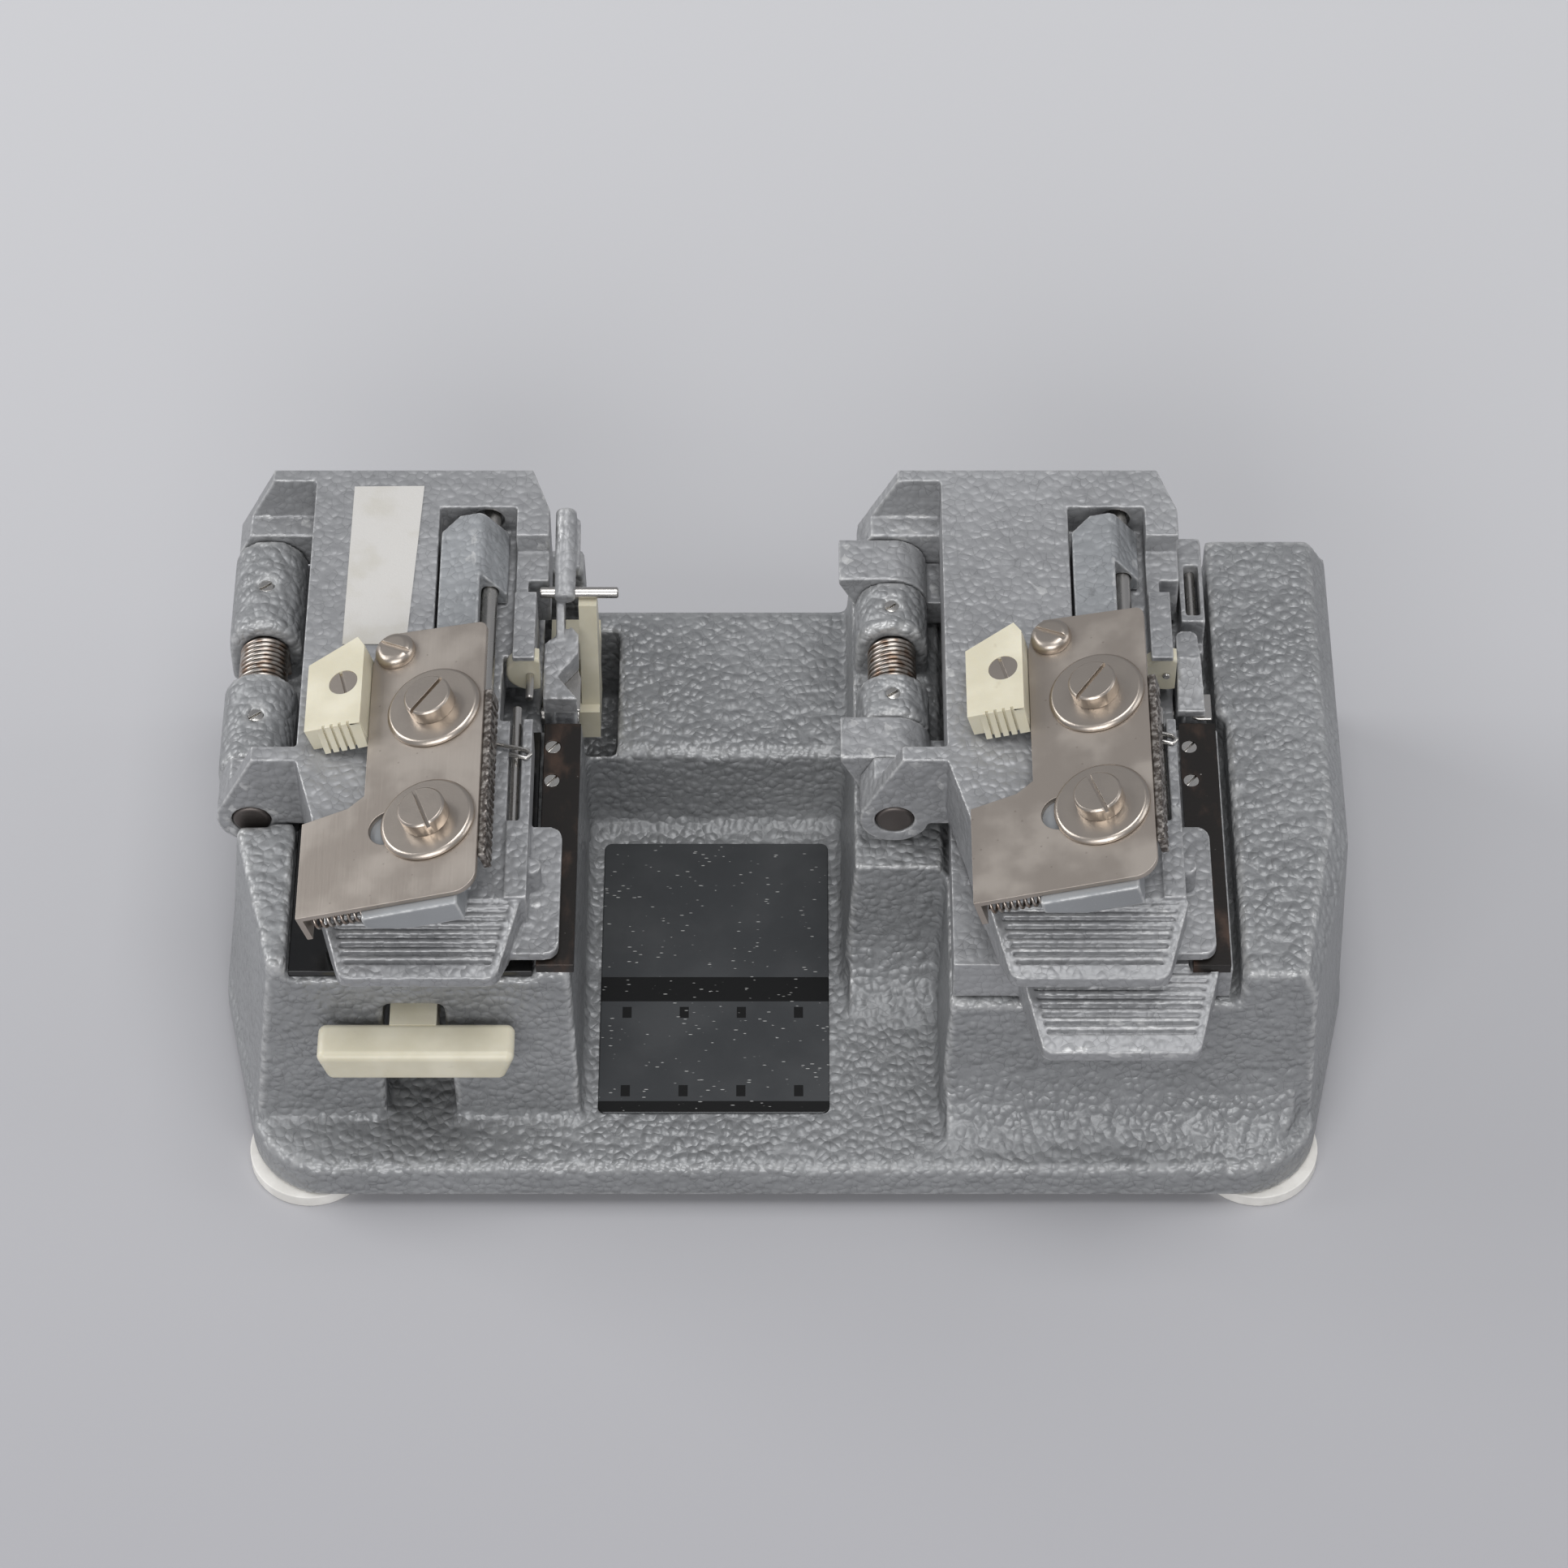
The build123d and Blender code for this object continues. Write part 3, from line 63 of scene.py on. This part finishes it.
# ---- printed name plate ----
PERFORATION_PITCH = 7.62 * MM
HOLE_W, HOLE_H = 1.22 * MM, 1.80 * MM
HOLE_FIRST_X = -20.93 * MM
HOLE_PITCHES = 3.5             # the row of holes ends this many pitches after the first one
HOLE_ROWS = (-16.65 * MM, -29.30 * MM)
WIDE_BAR = (-14.85 * MM, -10.85 * MM)
NARROW_BAR = (-32.70 * MM, -30.95 * MM)
INK = (0.004, 0.004, 0.004)
SCRATCH = (0.62, 0.62, 0.60)
SCRATCH_LAYERS = ((0.4, 0.56), (1.3, 0.57), (2.2, 0.56))    # turn in radians, threshold

# ---- studio ----
FLOOR_SIZE = 3.0
# painted light: the floor is shaded darker at the front and lit paler at the back
FLOOR_NEAR_SHADED = (0.350, 0.347, 0.366)
FLOOR_FAR_LIT = (0.620, 0.620, 0.632)
FLOOR_LIGHT_FALLOFF = (-0.22, 0.32)     # depths between which the floor grows paler, a painted falloff of light from the back
SKY_COLOUR = (0.92, 0.94, 1.0, 1.0)
SKY_STRENGTH = 0.33
AIM = (0.0, 0.0, 0.02)
LAMPS = {                      # place, width and height, watts
    "left softbox": ((-0.95, 0.25, 0.50), (0.7, 0.6), 5.0),
    "overhead softbox": ((0.10, 0.00, 0.95), (0.6, 0.5), 3.8),
    "front softbox": ((-0.20, -0.95, 0.62), (0.9, 0.5), 6.0),
    "right softbox": ((0.90, 0.00, 0.45), (0.5, 0.5), 1.4),
}


def shade(colour, share):
    return tuple(share * part for part in colour)


# ------------------------------------------------------------------ node helpers
class Surface:
    """A material under construction: a Principled shader and short calls for its nodes."""

    def __init__(self, name, roughness=0.5, metallic=0.0):
        self.material = bpy.data.materials.new(name)
        self.material.use_nodes = True
        self.tree = self.material.node_tree
        self.shader = self.tree.nodes["Principled BSDF"]
        self.set("Roughness", roughness)
        self.set("Metallic", metallic)
        self.place = self.node("ShaderNodeTexCoord").outputs["Object"]

    def node(self, kind, **settings):
        made = self.tree.nodes.new(kind)
        for key, value in settings.items():
            setattr(made, key, value)
        return made

    def feed(self, socket, value):
        """Link a socket to a node's output, or set it to a fixed value."""
        if isinstance(value, bpy.types.NodeSocket):
            self.tree.links.new(value, socket)
        else:
            socket.default_value = value

    def set(self, name, value):
        self.feed(self.shader.inputs[name], value)

    def math(self, operation, a, b=0.0):
        made = self.node("ShaderNodeMath", operation=operation)
        self.feed(made.inputs[0], a)
        self.feed(made.inputs[1], b)
        return made.outputs[0]

    def ramp(self, value, low, high, out_low=0.0, out_high=1.0):
        """Smooth step of a value from out_low at low to out_high at high."""
        made = self.node("ShaderNodeMapRange", interpolation_type="SMOOTHSTEP")
        self.feed(made.inputs["Value"], value)
        limits = {"From Min": low, "From Max": high, "To Min": out_low, "To Max": out_high}
        for key, amount in limits.items():
            self.feed(made.inputs[key], amount)
        return made.outputs["Result"]

    def mix(self, factor, a, b):
        """Colour between a and b."""
        made = self.node("ShaderNodeMix", data_type="RGBA")
        self.feed(made.inputs["Factor"], factor)
        for key, value in ((6, a), (7, b)):
            fixed = not isinstance(value, bpy.types.NodeSocket)
            self.feed(made.inputs[key], (*value, 1.0) if fixed else value)
        return made.outputs[2]

    def tint(self, base, mask, strength, colour):
        """Lay a colour over the base where the mask is 1."""
        return self.mix(self.math("MULTIPLY", mask, strength), base, colour)

    def stretch(self, scale, turn=0.0):
        """The surface's coordinates, scaled and then turned about Z."""
        made = self.node("ShaderNodeMapping")
        self.feed(made.inputs["Vector"], self.place)
        made.inputs["Rotation"].default_value = (0.0, 0.0, turn)
        made.inputs["Scale"].default_value = scale
        return made.outputs["Vector"]

    def texture(self, kind, cell_mm, place, **settings):
        made = self.node(kind, **settings)
        self.feed(made.inputs["Vector"], place or self.place)
        made.inputs["Scale"].default_value = 1.0 / (cell_mm * MM)
        return made

    def noise(self, cell_mm, detail=3.0, place=None):
        made = self.texture("ShaderNodeTexNoise", cell_mm, place)
        made.inputs["Detail"].default_value = detail
        return made.outputs["Fac"]

    def cells(self, cell_mm, feature, place=None):
        made = self.texture("ShaderNodeTexVoronoi", cell_mm, place, feature=feature)
        return made.outputs["Distance"]

    def blotches(self, cell_mm, detail, low, high):
        """Soft patches: 0 where the noise is under low, 1 where it is over high."""
        return self.ramp(self.noise(cell_mm, detail), low, high)

    def warped(self, cell_mm, amount_mm):
        """The surface's coordinates, pushed about by noise so that patterns look natural."""
        waves = self.texture("ShaderNodeTexNoise", cell_mm, None).outputs["Color"]
        shift = self.node("ShaderNodeVectorMath", operation="SUBTRACT")
        self.feed(shift.inputs[0], waves)
        shift.inputs[1].default_value = (0.5, 0.5, 0.5)
        scaled = self.node("ShaderNodeVectorMath", operation="SCALE")
        self.feed(scaled.inputs[0], shift.outputs[0])
        scaled.inputs["Scale"].default_value = 2 * amount_mm * MM
        total = self.node("ShaderNodeVectorMath", operation="ADD")
        self.feed(total.inputs[0], self.place)
        self.feed(total.inputs[1], scaled.outputs[0])
        return total.outputs[0]

    def bump(self, height, distance_mm):
        made = self.node("ShaderNodeBump")
        made.inputs["Strength"].default_value = 1.0
        made.inputs["Distance"].default_value = distance_mm * MM
        self.feed(made.inputs["Height"], height)
        self.set("Normal", made.outputs["Normal"])

    def worn_and_highlit_edge(self):
        """1 along convex edges, 0 on flats and in corners, broken up by noise: the mask for
        worn paint and a painted highlight.
        """
        pointiness = self.node("ShaderNodeNewGeometry").outputs["Pointiness"]
        convex = self.ramp(pointiness, 0.506, 0.545)
        return self.math("MULTIPLY", convex, self.blotches(1.3, 3.0, 0.25, 0.65))

    def axes(self):
        made = self.node("ShaderNodeSeparateXYZ")
        self.feed(made.inputs[0], self.place)
        return made.outputs


# ------------------------------------------------------------------ materials
def hammertone(name, cell_mm, relief_mm, paint, smooth_front=None):
    """Hammer-finish paint: rounded pebbles whose tops are lighter with painted highlight, thin
    creases darkened with painted shade, paler on edges with worn paint and a painted highlight.

    In front of the depth smooth_front the paint is thin and even.
    """
    s = Surface(name, metallic=0.30)
    place = s.warped(2.6, 0.45)
    dome = s.ramp(s.cells(cell_mm, "F1", place), 0.12, 0.78, 1.0, 0.0)
    swell = s.ramp(s.cells(cell_mm * 1.9, "F1", place), 0.10, 0.85, 1.0, 0.0)
    height = s.math("ADD", s.math("MULTIPLY", dome, 0.60), s.math("MULTIPLY", swell, 0.55))
    height = s.math("ADD", height, s.math("MULTIPLY", s.noise(0.7, 2.0), 0.16))
    border = s.ramp(s.cells(cell_mm, "DISTANCE_TO_EDGE", place), 0.05, 0.0)
    shaded_crease = s.math("MULTIPLY", border, s.blotches(2.2, 2.0, 0.38, 0.60))
    if smooth_front is not None:
        pebbled = s.ramp(s.axes()[1], smooth_front, smooth_front + THIN_FADE * MM)
        shaded_crease = s.math("MULTIPLY", shaded_crease, pebbled)
        dome = s.math("MULTIPLY", dome, pebbled)
        height = s.math("MULTIPLY", height, s.math("MAXIMUM", pebbled, THIN_RELIEF))
    cloud = s.blotches(16.0, 3.0, 0.34, 0.68)
    edge = s.worn_and_highlit_edge()
    base = s.mix(cloud, shade(paint, 0.92), shade(paint, 1.08))
    # painted highlight: the tops of the pebbles are tinted lighter, as if lit
    base = s.tint(base, dome, 0.20, shade(paint, 1.35))
    # painted shade: darker in the creases between the pebbles
    base = s.tint(base, shaded_crease, 0.50, shade(paint, 0.42))
    base = s.tint(base, s.blotches(0.20, 2.0, 0.60, 0.78), 0.12, FLECK)
    # worn paint and painted highlight: convex edges paler, towards bare metal
    base = s.tint(base, edge, 0.55, BARE_METAL_AND_HIGHLIGHT)
    s.set("Base Color", base)
    rough = s.ramp(cloud, 0.0, 1.0, 0.38, 0.48)
    s.set("Roughness", s.math("SUBTRACT", rough, s.math("MULTIPLY", edge, 0.10)))
    s.bump(height, relief_mm)
    return s.material


def satin_plate(name):
    """Warm satin nickel with faint rubbing marks and smudges."""
    s = Surface(name, metallic=0.92)
    grain = s.noise(0.35, 2.0, s.stretch((1.0, 0.05, 1.0)))
    smudge = s.blotches(9.0, 4.0, 0.40, 0.66)
    base = s.mix(smudge, (0.420, 0.370, 0.325), (0.500, 0.450, 0.400))
    speck = s.ramp(s.cells(1.9, "F1"), 0.10, 0.05)
    s.set("Base Color", s.tint(base, speck, 0.45, (0.26, 0.22, 0.19)))
    s.set("Roughness", s.ramp(smudge, 0.0, 1.0, 0.40, 0.47))
    s.bump(grain, 0.012)
    return s.material


def polished(name, colour, roughness, grain_mm=0.3):
    """Turned or polished metal with fine marks."""
    s = Surface(name, metallic=1.0)
    wear = s.blotches(3.5, 3.0, 0.30, 0.75)
    s.set("Base Color", s.mix(wear, shade(colour, 0.88), colour))
    s.set("Roughness", s.ramp(wear, 0.0, 1.0, roughness + 0.06, roughness))
    s.bump(s.noise(grain_mm), 0.010)
    return s.material


def nylon(name):
    """Aged cream plastic, a little translucent."""
    s = Surface(name, roughness=0.36)
    cloud = s.blotches(7.0, 3.0, 0.35, 0.70)
    grime = s.blotches(2.0, 5.0, 0.66, 0.80)
    base = s.mix(cloud, (0.600, 0.560, 0.430), (0.690, 0.650, 0.520))
    s.set("Base Color", s.tint(base, grime, 0.35, (0.40, 0.34, 0.24)))
    s.set("Subsurface Weight", 0.15)
    s.set("Subsurface Radius", (1.0, 0.8, 0.5))
    s.set("Subsurface Scale", 1.0 * MM)
    s.bump(s.noise(0.9), 0.02)
    return s.material


def blackened_steel(name):
    """Blackened bar, worn through to brown, with pale dust specks."""
    s = Surface(name, metallic=0.45)
    rust = s.ramp(s.noise(4.0, 6.0, s.stretch((1.4, 0.7, 1.0))), 0.46, 0.78)
    base = s.mix(rust, (0.024, 0.021, 0.019), (0.075, 0.045, 0.032))
    dust = s.ramp(s.cells(1.1, "F1"), 0.11, 0.05)
    sparse = s.blotches(1.7, 2.0, 0.56, 0.62)
    s.set("Base Color", s.tint(base, dust, sparse, (0.42, 0.40, 0.38)))
    s.set("Roughness", s.ramp(rust, 0.0, 1.0, 0.28, 0.48))
    s.bump(s.noise(0.5), 0.02)
    return s.material


def black_gloss(name):
    s = Surface(name, roughness=0.16)
    haze = s.blotches(4.0, 4.0, 0.45, 0.75)
    s.set("Base Color", s.mix(haze, (0.008, 0.008, 0.008), (0.022, 0.021, 0.020)))
    s.bump(s.noise(0.8, 2.0), 0.006)
    return s.material


def paper(name):
    """Blank paper label, yellowed and a little stained."""
    s = Surface(name, roughness=0.82)
    stain = s.blotches(7.0, 4.0, 0.46, 0.72)
    s.set("Base Color", s.mix(stain, (0.560, 0.545, 0.520), (0.500, 0.480, 0.430)))
    s.bump(s.noise(0.25, 4.0), 0.03)
    return s.material


def rubber(name):
    """White rubber of the feet, a little grey from use."""
    s = Surface(name, roughness=0.62)
    cloud = s.blotches(3.0, 4.0, 0.35, 0.70)
    s.set("Base Color", s.mix(cloud, (0.70, 0.68, 0.64), (0.80, 0.78, 0.74)))
    s.bump(s.noise(0.4), 0.03)
    return s.material


def drawn_wire(name):
    """Spring wire, tarnished brown in places."""
    s = Surface(name, metallic=1.0, roughness=0.30)
    tarnish = s.blotches(1.2, 4.0, 0.40, 0.68)
    s.set("Base Color", s.mix(tarnish, (0.50, 0.46, 0.42), (0.28, 0.20, 0.15)))
    s.bump(s.noise(0.2, 2.0), 0.01)
    return s.material


def ground_teeth(name):
    """Dark ground steel with dust caught between its teeth."""
    s = Surface(name, metallic=0.8, roughness=0.40)
    dust = s.blotches(0.7, 4.0, 0.42, 0.66)
    s.set("Base Color", s.mix(dust, (0.10, 0.085, 0.075), (0.42, 0.39, 0.36)))
    s.bump(s.noise(0.4, 4.0), 0.06)
    return s.material


def name_plate(name):
    """Dark satin plate with the printed outline of a film strip and no lettering."""
    s = Surface(name, metallic=0.35)
    x, y, _ = s.axes()

    def band(value, low, high):
        above = s.math("GREATER_THAN", value, low)
        return s.math("MULTIPLY", above, s.math("LESS_THAN", value, high))

    ink = s.math("MAXIMUM", band(y, *WIDE_BAR), band(y, *NARROW_BAR))
    # the offset is kept positive with whole pitches, because the modulo keeps the sign
    offset = s.math("SUBTRACT", x, HOLE_FIRST_X - HOLE_W / 2)
    offset = s.math("ADD", offset, 4 * PERFORATION_PITCH)
    step = s.math("MODULO", offset, PERFORATION_PITCH)
    row_end = HOLE_FIRST_X + HOLE_PITCHES * PERFORATION_PITCH
    in_row = band(x, HOLE_FIRST_X - HOLE_W, row_end)
    column = s.math("MULTIPLY", s.math("LESS_THAN", step, HOLE_W), in_row)
    for row in HOLE_ROWS:
        hole = s.math("MULTIPLY", column, band(y, row - HOLE_H / 2, row + HOLE_H / 2))
        ink = s.math("MAXIMUM", ink, hole)
    # short pale scratches in several directions
    scratches = 0.0
    for turn, threshold in SCRATCH_LAYERS:
        dots = s.cells(0.62, "F1", s.stretch((0.28, 1.4, 1.0), turn))
        gate = s.blotches(2.3 + turn, 2.0, threshold, threshold + 0.02)
        mark = s.math("MULTIPLY", s.ramp(dots, 0.16, 0.08), gate)
        scratches = s.math("MAXIMUM", scratches, mark)
    cloud = s.blotches(11.0, 4.0, 0.35, 0.70)
    base = s.mix(cloud, (0.050, 0.053, 0.056), (0.070, 0.073, 0.076))
    base = s.mix(ink, base, INK)
    s.set("Base Color", s.tint(base, scratches, 0.8, SCRATCH))
    s.set("Roughness", s.ramp(scratches, 0.0, 1.0, 0.32, 0.6))
    s.bump(s.math("ADD", s.noise(0.5), s.math("MULTIPLY", scratches, -1.0)), 0.008)
    return s.material


# ------------------------------------------------------------------ dress the CAD nodes
HEAD_CASTINGS = (
    "left_upper_jaw", "right_upper_jaw", "right_carrier", "left_rocker_arm", "right_rocker_arm",
)
CARRIAGES = ("left_scraper_carriage", "right_scraper_carriage")
SHAFTS = ("left_hinge_shaft", "right_hinge_shaft")
UNBEVELLED = ("spring_steel", "label_paper")

LOOKS = {
    "casting": hammertone("hammertone paint", PEBBLE, RELIEF, PAINT_BASE),
    "foot_rubber": rubber("white rubber"),
    "name_plate": name_plate("printed plate"),
    "bright_steel": polished("bright steel", (0.60, 0.58, 0.55), 0.24),
    "spring_steel": drawn_wire("spring wire"),
    "black_steel": blackened_steel("blackened steel"),
    "black_track": black_gloss("black track"),
    "satin_plate": satin_plate("satin plate"),
    "toothed_steel": ground_teeth("toothed steel"),
    "nickel": polished("satin nickel", (0.54, 0.48, 0.42), 0.30),
    "nylon": nylon("cream nylon"),
    "label_paper": paper("blank label"),
}
HEAD_PAINT = hammertone("hammertone paint on the heads", PEBBLE_FINE, RELIEF_FINE, PAINT_HEADS)
SLIDE_PAINT = hammertone(
    "hammertone paint on the slides", PEBBLE_FINE, RELIEF_FINE, PAINT_SLIDES, smooth_front=0.0,
)
SHAFT_STEEL = polished("oxidised steel", (0.17, 0.15, 0.14), 0.42, 0.5)
OWN_LOOKS = {
    **dict.fromkeys(HEAD_CASTINGS, HEAD_PAINT),
    **dict.fromkeys(CARRIAGES, SLIDE_PAINT),
    **dict.fromkeys(SHAFTS, SHAFT_STEEL),
}


def weld(obj):
    obj.modifiers.new("weld", "WELD").merge_threshold = WELD_GAP * MM


def cast_skin(obj, voxel_mm, keep):
    """Round every edge as on a die casting, with a fine even mesh that is then thinned out."""
    weld(obj)
    remesh = obj.modifiers.new("even mesh", "REMESH")
    remesh.mode = "VOXEL"
    remesh.voxel_size = voxel_mm * MM
    remesh.use_smooth_shade = True
    smooth = obj.modifiers.new("rounding", "SMOOTH")
    smooth.factor = 0.5
    smooth.iterations = SMOOTH_PASSES
    obj.modifiers.new("thinning", "DECIMATE").ratio = keep


def round_edges(obj):
    """Bevel the sharp edges, after the facets of each flat face are joined."""
    weld(obj)
    flat = obj.modifiers.new("whole faces", "DECIMATE")
    flat.decimate_type = "DISSOLVE"
    flat.angle_limit = FLAT_ANGLE
    bevel = obj.modifiers.new("rounding", "BEVEL")
    bevel.width = FINE_EDGE * MM
    bevel.segments = FINE_SEGMENTS
    bevel.limit_method = "ANGLE"
    bevel.angle_limit = EDGE_ANGLE
    bevel.use_clamp_overlap = True
    bevel.miter_outer = "MITER_ARC"
    bevel.harden_normals = True
    obj.modifiers.new("normals", "WEIGHTED_NORMAL").keep_sharp = True


slots = {part["node"]: part["material_slot"] for part in frame["record"]["subparts"]}
for name, obj in nodes.items():
    slot = slots[name]
    obj.data.materials.clear()
    obj.data.materials.append(OWN_LOOKS.get(name, LOOKS[slot]))
    for face in obj.data.polygons:
        face.use_smooth = True
    if name in HEAD_CASTINGS + CARRIAGES:
        cast_skin(obj, HEAD_VOXEL, HEAD_KEEP)
    elif slot == "casting":
        cast_skin(obj, BASE_VOXEL, BASE_KEEP)
    elif slot not in UNBEVELLED:
        round_edges(obj)


# ------------------------------------------------------------------ floor, lights, camera
def floor():
    mesh = bpy.data.meshes.new("floor")
    made = bpy.data.objects.new("floor", mesh)
    bpy.context.scene.collection.objects.link(made)
    shape = bmesh.new()
    bmesh.ops.create_grid(shape, x_segments=2, y_segments=2, size=FLOOR_SIZE)
    shape.to_mesh(mesh)
    shape.free()
    s = Surface("pale backdrop", roughness=0.7)
    _, depth, _ = s.axes()
    # painted light falloff: darker near the front, paler at the back
    s.set("Base Color", s.mix(s.ramp(depth, *FLOOR_LIGHT_FALLOFF), FLOOR_NEAR_SHADED, FLOOR_FAR_LIT))
    mesh.materials.append(s.material)


def lamp(name, place, size, power):
    data = bpy.data.lights.new(name, "AREA")
    data.shape = "RECTANGLE"
    data.size, data.size_y = size
    data.energy = power
    made = bpy.data.objects.new(name, data)
    made.location = place
    made.rotation_euler = (Vector(AIM) - Vector(place)).to_track_quat("-Z", "Y").to_euler()
    bpy.context.scene.collection.objects.link(made)


def sky():
    world = bpy.data.worlds.new("studio")
    world.use_nodes = True
    background = world.node_tree.nodes["Background"]
    background.inputs["Color"].default_value = SKY_COLOUR
    background.inputs["Strength"].default_value = SKY_STRENGTH
    bpy.context.scene.world = world


def camera():
    data = bpy.data.cameras.new("camera")
    data.sensor_width = SENSOR_MM
    data.lens = FOCAL_PX / IMAGE_PX * SENSOR_MM
    data.clip_start = CAMERA_NEAR
    made = bpy.data.objects.new("camera", data)
    made.location = CAMERA_PLACE
    made.rotation_euler = (radians(90.0 - CAMERA_ELEVATION), 0.0, 0.0)
    bpy.context.scene.collection.objects.link(made)
    bpy.context.scene.camera = made


floor()
for name, (place, size, power) in LAMPS.items():
    lamp(name, place, size, power)
sky()
camera()
bpy.context.scene.view_settings.view_transform = "Standard"
